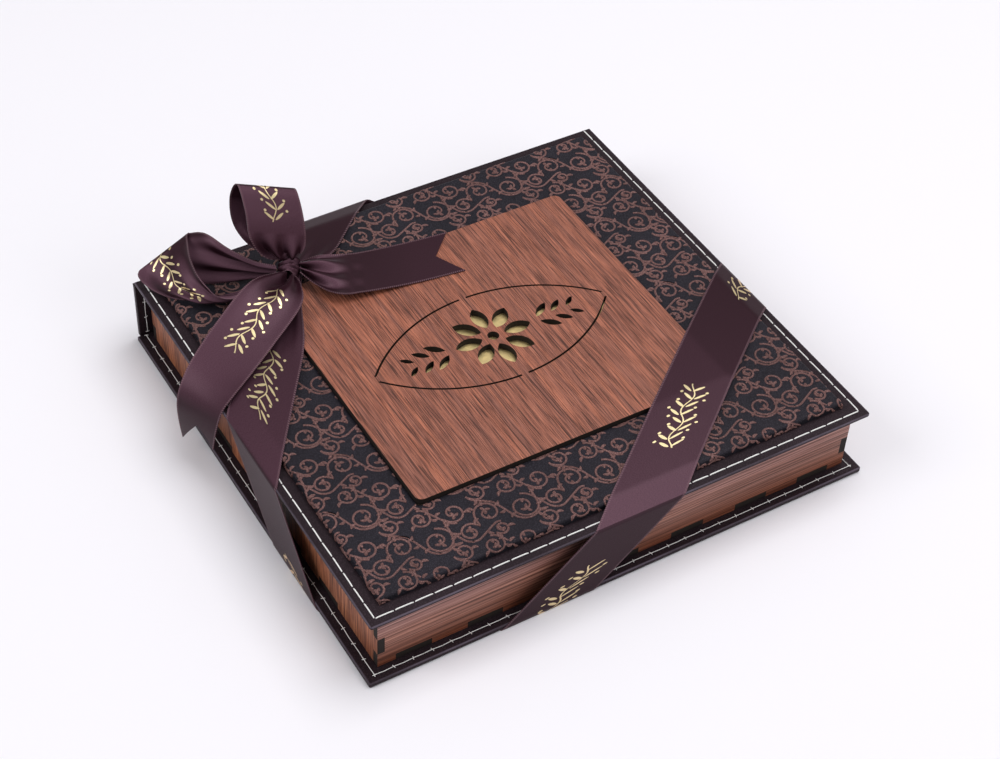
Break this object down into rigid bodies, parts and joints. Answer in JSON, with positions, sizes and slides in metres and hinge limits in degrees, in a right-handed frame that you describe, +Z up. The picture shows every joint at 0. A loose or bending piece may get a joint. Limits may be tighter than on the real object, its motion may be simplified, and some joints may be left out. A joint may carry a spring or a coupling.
{
  "type": "gift box",
  "caption": "Flat book-style confectionery gift box: leather-covered boards round a finger-jointed wooden tray, pierced wooden plate on a padded lid, tied with a satin ribbon bow.",
  "frame": {"origin": "centre of the box's footprint, on the surface that it stands on", "axes": "+X to the right along the opening edge, -Y towards the opening edge, +Y towards the spine, +Z up"},
  "size_m": [0.231, 0.2066, 0.0816],
  "materials": {
    "cover_leather": "black-brown pebbled leatherette, slight gloss",
    "panel_leather": "black leatherette embossed with copper-brown scrolls",
    "board": "raw grey-brown book board",
    "lining": "smooth dark lining paper",
    "pad": "thin foam sheet",
    "tray_wood": "3 mm board with reddish walnut veneer, satin",
    "plate_wood": "walnut-veneered plate with burnt edges, satin",
    "foil": "metallised gold card, gloss",
    "liner_paper": "white waxed paper",
    "satin": "dark aubergine satin ribbon, strong sheen"
  },
  "bodies": {
    "base": {"base_board": "board", "base_outer_leather": "cover_leather", "base_lining": "lining", "tray_floor": "tray_wood", "tray_front_wall": "tray_wood", "tray_back_wall": "tray_wood", "tray_left_wall": "tray_wood", "tray_right_wall": "tray_wood", "tray_liner": "liner_paper"},
    "spine": {"spine_board": "board", "spine_outer_leather": "cover_leather", "spine_lining": "lining", "lid_hinge_fold": "cover_leather", "base_hinge_fold": "cover_leather"},
    "lid": {"lid_board": "board", "lid_outer_leather": "cover_leather", "lid_lining": "lining", "panel_pad": "pad", "panel_leather": "panel_leather", "gold_foil": "foil", "top_plate": "plate_wood"},
    "ribbon": {"ribbon_band": "satin", "ribbon_knot": "satin", "bow_loop_upright": "satin", "bow_loop_left": "satin", "ribbon_tail_right": "satin", "ribbon_tail_left": "satin"}
  },
  "joints": [
    {"name": "spine_hinge", "type": "hinge", "parent": "base", "child": "spine", "pos_m": [0, 0.1022, 0.0011], "axis": [-1, 0, 0], "range_deg": [0, 79], "deforming": ["base_hinge_fold"]},
    {"name": "lid_hinge", "type": "hinge", "parent": "spine", "child": "lid", "pos_m": [0, 0.1022, 0.0315], "axis": [-1, 0, 0], "range_deg": [0, 101], "deforming": ["lid_hinge_fold"]},
    {"name": "ribbon_slide", "type": "slide", "parent": "base", "child": "ribbon", "axis": [-1, 0, 0], "range_m": [0, 0.26], "deforming": ["ribbon_band", "ribbon_knot", "bow_loop_upright", "bow_loop_left", "ribbon_tail_right", "ribbon_tail_left"]}
  ],
  "couplings": [
    {"joint": "spine_hinge", "follows": "lid_hinge", "ratio": 0.78217},
    {"joint": "ribbon_slide", "follows": "lid_hinge", "m_per_rad": 0.14749}
  ]
}
